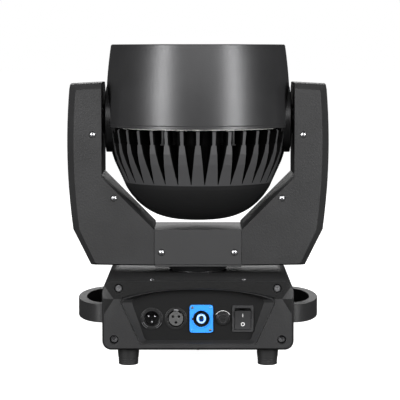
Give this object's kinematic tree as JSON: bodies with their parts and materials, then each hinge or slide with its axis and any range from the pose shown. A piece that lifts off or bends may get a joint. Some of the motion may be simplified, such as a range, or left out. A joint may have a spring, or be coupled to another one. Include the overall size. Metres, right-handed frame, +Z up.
{
  "type": "moving head light",
  "caption": "Moving head wash light: finned round head with a lens array, tilting in a two-armed yoke that pans on a low base with connectors and carrying handles.",
  "frame": {"origin": "centre of the footprint on the floor plane, under the pan axis", "axes": "+Z up along the pan axis with the beam pointing up at rest; the connector side faces -Y, the display side +Y, and the tilt axis lies along X"},
  "size_m": [0.3, 0.22, 0.358],
  "materials": {
    "moulded_cover": "fine-textured black ABS",
    "bridge_panel": "satin charcoal powder coat on sheet steel",
    "head_casting": "satin black paint on die-cast aluminium",
    "heat_sink_black": "black anodised aluminium",
    "rear_cap_black": "smooth black plastic",
    "panel_black": "matt black printed steel sheet",
    "connector_black": "black glass-filled nylon",
    "mains_blue": "blue nylon",
    "rocker_black": "black plastic",
    "button_grey": "dark grey silicone-coated plastic",
    "display_glass": "clear hard-coated window",
    "rubber_black": "matt black rubber",
    "steel_zinc": "zinc-plated steel",
    "frame_aluminium": "mill-finish aluminium sheet",
    "screw_dark": "blackened steel",
    "motor_black": "black lacquer",
    "belt_rubber": "toothed neoprene belt",
    "pulley_aluminium": "turned aluminium",
    "circuit_board": "green solder mask",
    "led_board_white": "white solder mask on an aluminium core",
    "lens_acrylic": "clear moulded acrylic",
    "lens_panel_black": "matt black plastic",
    "fan_plastic": "black fan plastic",
    "print_white": "white pad print",
    "socket_pale": "pale blue nylon contact block",
    "display_glow": "lit display segments",
    "led_phosphor": "yellow phosphor over the LED dies"
  },
  "bodies": {
    "base": {"base_tray": "steel_zinc", "base_top_cover": "moulded_cover", "rear_bezel": "moulded_cover", "connector_plate": "panel_black", "front_bezel": "moulded_cover", "display_plate": "panel_black", "display_window": "display_glass", "left_handle": "moulded_cover", "right_handle": "moulded_cover", "rubber_feet": "rubber_black", "safety_eye": "steel_zinc", "xlr_male_inlet": "connector_black", "xlr_contacts": "steel_zinc", "xlr_female_outlet": "connector_black", "mains_inlet": "mains_blue", "fuse_holder": "connector_black", "switch_frame": "rocker_black", "bezel_screws": "screw_dark", "power_supply": "frame_aluminium", "control_board": "circuit_board", "pan_bearing": "frame_aluminium", "pan_motor": "motor_black", "pan_belt": "belt_rubber"},
    "rocker": {"switch_rocker": "rocker_black"},
    "button_up": {"menu_button_up": "button_grey"},
    "button_down": {"menu_button_down": "button_grey"},
    "button_menu": {"menu_button_menu": "button_grey"},
    "button_enter": {"menu_button_enter": "button_grey"},
    "pan_pinion": {"pan_motor_pulley": "pulley_aluminium"},
    "yoke": {"pan_shaft": "head_casting", "pan_pulley": "pulley_aluminium", "yoke_floor_plate": "bridge_panel", "left_frame_plate": "steel_zinc", "right_frame_plate": "steel_zinc", "left_arm_rear_cover": "moulded_cover", "left_arm_front_cover": "moulded_cover", "right_arm_rear_cover": "moulded_cover", "right_arm_front_cover": "moulded_cover", "bridge_rear_cover": "bridge_panel", "bridge_front_cover": "bridge_panel", "yoke_screws": "steel_zinc", "left_tilt_bearing": "steel_zinc", "right_tilt_bearing": "steel_zinc", "tilt_motor": "motor_black", "tilt_belt": "belt_rubber", "arm_driver_board": "circuit_board"},
    "tilt_pinion": {"tilt_motor_pulley": "pulley_aluminium"},
    "head": {"head_shell": "head_casting", "front_rim": "head_casting", "zoom_actuators": "motor_black", "led_board": "led_board_white", "heat_sink": "heat_sink_black", "fan_frame": "fan_plastic", "rear_cap": "rear_cap_black", "left_tilt_hub": "head_casting", "right_tilt_hub": "head_casting", "tilt_pulley": "pulley_aluminium"},
    "lens_carriage": {"lens_panel": "lens_panel_black", "lenses": "lens_acrylic"},
    "fan": {"fan_rotor": "fan_plastic"}
  },
  "joints": [
    {"name": "pan", "type": "hinge", "parent": "base", "child": "yoke", "pos_m": [0, 0, 0.1], "axis": [0, 0, 1], "range_deg": [-270, 270]},
    {"name": "pan_motor_spin", "type": "hinge", "parent": "base", "child": "pan_pinion", "pos_m": [0.068, 0, 0.07], "axis": [0, 0, 1], "range_deg": [-1290, 1290]},
    {"name": "tilt", "type": "hinge", "parent": "yoke", "child": "head", "pos_m": [0, 0, 0.272], "axis": [1, 0, 0], "range_deg": [-105, 105]},
    {"name": "tilt_motor_spin", "type": "hinge", "parent": "yoke", "child": "tilt_pinion", "pos_m": [0.126, 0, 0.15], "axis": [1, 0, 0], "range_deg": [-320, 320]},
    {"name": "zoom", "type": "slide", "parent": "head", "child": "lens_carriage", "axis": [0, 0, 1], "range_m": [0, 0.012]},
    {"name": "fan_spin", "type": "hinge", "parent": "head", "child": "fan", "pos_m": [0, 0, 0.215], "axis": [0, 0, 1], "continuous": true},
    {"name": "mains_switch", "type": "hinge", "parent": "base", "child": "rocker", "pos_m": [0.05, -0.093, 0.053], "axis": [1, 0, 0], "range_deg": [-16, 0]},
    {"name": "press_up", "type": "slide", "parent": "base", "child": "button_up", "axis": [0, -1, 0], "range_m": [0, 0.0012], "stiffness_N_per_m": 500},
    {"name": "press_down", "type": "slide", "parent": "base", "child": "button_down", "axis": [0, -1, 0], "range_m": [0, 0.0012], "stiffness_N_per_m": 500},
    {"name": "press_menu", "type": "slide", "parent": "base", "child": "button_menu", "axis": [0, -1, 0], "range_m": [0, 0.0012], "stiffness_N_per_m": 500},
    {"name": "press_enter", "type": "slide", "parent": "base", "child": "button_enter", "axis": [0, -1, 0], "range_m": [0, 0.0012], "stiffness_N_per_m": 500}
  ],
  "couplings": [
    {"joint": "pan_motor_spin", "follows": "pan", "ratio": 4.75},
    {"joint": "tilt_motor_spin", "follows": "tilt", "ratio": 3}
  ]
}
